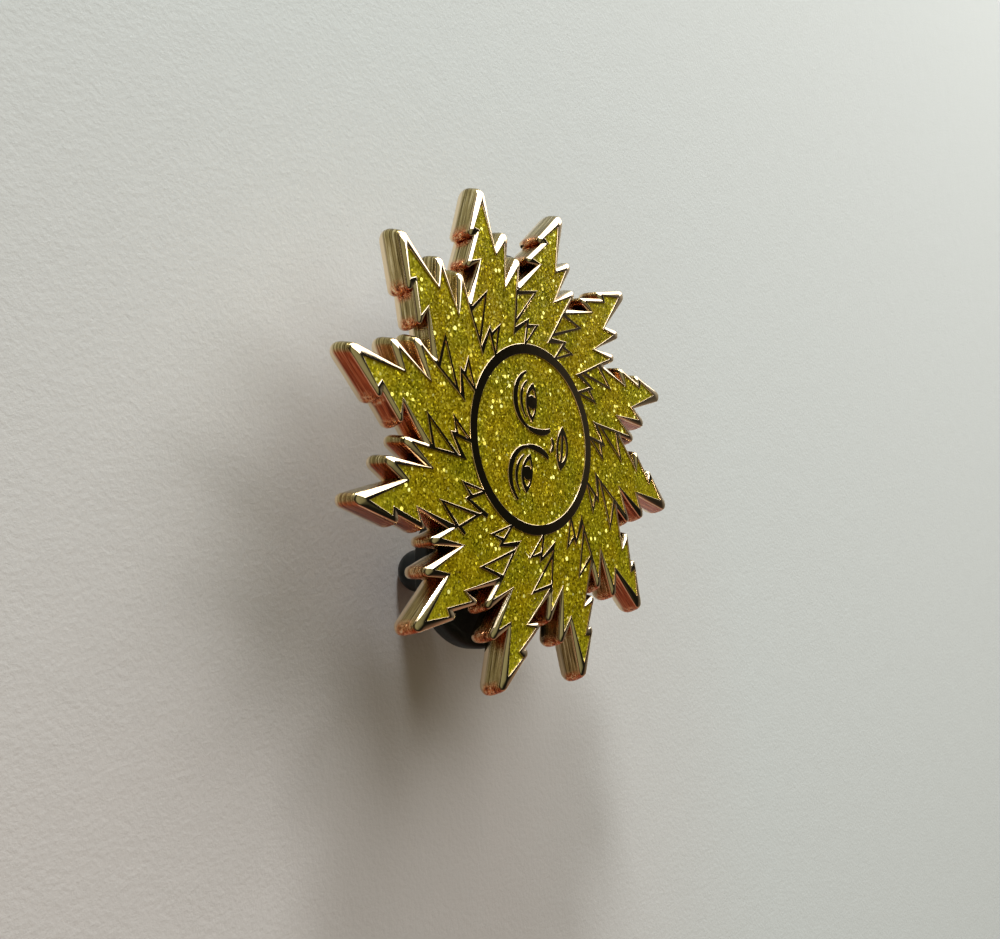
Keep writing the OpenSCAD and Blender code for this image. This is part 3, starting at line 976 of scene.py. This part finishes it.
def flange(big, under, high):
    """Round the flange's edge from below to its raised top border."""
    e = FLANGE_ROUND
    turn = [math.radians(a) for a in range(0, 91, 15)]
    return (
        [(big - e - 0.5, under)]
        + [(big - e + e * math.sin(a), under + e - e * math.cos(a)) for a in turn]
        + [(big, high - FLANGE_T / 2 - 0.02)]
        + [(big - e + e * math.cos(a), high - e + e * math.sin(a)) for a in turn]
        + [(big - e - 0.25, high), (big - e - 0.40, high - 0.05), (big - e - 0.55, high - 0.07)]
    )


def bore(low, high):
    """From the raised border of the bore's mouth down to its closed end."""
    return [
        (2.4, high - 0.07), (2.2, high - 0.05), (2.0, high), (1.1, high), (0.92, high - 0.02),
        (0.8, high - 0.09), (0.68, high - 0.22), (BORE_R, high - 0.36), (BORE_R, low + 1.0),
        (0.3, low + 0.5), (0, low + 0.5),
    ]


def make_clutch(side):
    centre, low, high = middle(f"clutch_{side}")
    box_low, box_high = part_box(f"clutch_{side}")
    big = (box_high.x - box_low.x) / 2 / MM
    under = high - FLANGE_T
    b = Builder()
    lathe(b, knob_end(low) + knob_side(low, under) + flange(big, under, high) + bore(low, high), centre, 128)
    clutch = b.make(f"clutch_{side}_look", [RUBBER], sharp=55)
    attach(clutch, f"{side}_clutch")
    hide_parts(f"clutch_{side}")


for side in ("left", "right"):
    make_post(side)
    make_solder(side)
    make_clutch(side)

# ---------------------------------------------------------------- floor, lights and surroundings
FLOOR_TOP = -0.02  # a hair under the knobs' flat ends, so that the two don't share a plane
FLOOR_R = 340
floor_builder = Builder()
lathe(floor_builder, [(r, FLOOR_TOP) for r in (0, 40, 120, FLOOR_R)], (0, 0))
floor_builder.make("floor", [paper()])

AIM = (0, 0, 0.008)  # metres, the middle of the badge


def around(azimuth, elevation, distance):
    """A place seen from the badge at that azimuth, from +X towards +Y, and elevation, in degrees."""
    az, el = math.radians(azimuth), math.radians(elevation)
    out = distance * math.cos(el)
    return (out * math.cos(az), out * math.sin(az), distance * math.sin(el))


def area_light(name, place, size, power, colour):
    """A rectangular light at a place, aimed at the badge; place and size in metres."""
    data = bpy.data.lights.new(name, "AREA")
    data.shape = "RECTANGLE"
    data.size, data.size_y = size
    data.energy = power
    data.color = colour
    obj = bpy.data.objects.new(name, data)
    bpy.context.scene.collection.objects.link(obj)
    obj.location = place
    obj.rotation_euler = (Vector(AIM) - Vector(place)).to_track_quat("-Z", "Y").to_euler()
    return obj


area_light("window", around(-36, 43, 0.55), (0.46, 0.40), 2.12, (0.985, 1.0, 0.985))
area_light("lamp", around(3, 18, 0.80), (0.13, 0.10), 4.2, (0.95, 1.0, 1.0))
for n, azimuth in enumerate((-62, -22, 6)):  # low cards that only the plating mirrors
    card = area_light(f"card_{n}", around(azimuth, 13, 0.9), (0.40, 0.36), 1.1, (1.0, 0.985, 0.94))
    card.visible_diffuse = False


def studio():
    """A room for the plating to mirror: a pale wall towards +X, a reddish one towards -X, dim ones between
    them, and a dark ceiling that is lit in its middle. The camera itself sees a plain grey backdrop."""
    world = bpy.data.worlds.new("studio")
    bpy.context.scene.world = world
    world.use_nodes = True
    w = Nodes(world.node_tree)
    view = w.add("ShaderNodeTexCoord").outputs["Generated"]

    def towards(direction):
        n = w.add("ShaderNodeVectorMath", operation="DOT_PRODUCT")
        w.link(view, n.inputs[0])
        n.inputs[1].default_value = direction
        return n.outputs["Value"]

    up = towards((0, 0, 1))
    low = w.ramp(up, [(0.0, 1.0), (0.30, 0.8), (0.62, 0.0)])
    walls = (
        ((0.95, -0.30, 0), (0.50, 0.50, 0.47)), ((-0.9, 0.1, 0), (0.46, 0.20, 0.13)),
        ((0.1, 1, 0), (0.17, 0.135, 0.09)), ((0, -1, 0), (0.12, 0.10, 0.075)),
    )
    sides = None
    for direction, colour in walls:
        part = w.ramp(towards(direction), [(0.15, 0.0), (0.85, colour)])
        sides = part if sides is None else w.mix(1.0, sides, part, "ADD")
    ceiling = w.ramp(up, [
        (0.0, 0.04), (0.50, (0.006, 0.006, 0.005)), (0.78, (0.008, 0.008, 0.006)),
        (0.90, (0.20, 0.20, 0.11)), (1.0, (0.27, 0.27, 0.16)),
    ])
    light = w.mix(1.0, w.mix(1.0, sides, low, "MULTIPLY"), ceiling, "ADD")
    backdrop = w.ramp(up, [(0.0, (0.50, 0.505, 0.49)), (0.35, (0.66, 0.665, 0.65))])
    seen = w.mix(w.add("ShaderNodeLightPath").outputs["Is Camera Ray"], light, backdrop)
    background = w.add("ShaderNodeBackground")
    w.link(seen, background.inputs["Color"])
    w.link(background.outputs["Background"], w.add("ShaderNodeOutputWorld").inputs["Surface"])


studio()

# ---------------------------------------------------------------- camera
CAMERA_PLACE = (-1.9708, 58.5356, 55.9209)  # where the badge is seen as in the photo
CAMERA_TURN = (8.1148, -49.6805, -100.3760)  # degrees about X, Y and Z

camera_data = bpy.data.cameras.new("camera")
camera_data.sensor_width = 36
camera_data.lens = 39.862
camera_data.clip_start = 1 * MM
camera = bpy.data.objects.new("camera", camera_data)
camera.location = Vector(CAMERA_PLACE) * MM
camera.rotation_euler = [math.radians(angle) for angle in CAMERA_TURN]
bpy.context.scene.collection.objects.link(camera)
bpy.context.scene.camera = camera

bpy.context.scene.view_settings.view_transform = "Standard"
bpy.context.scene.view_settings.look = "None"
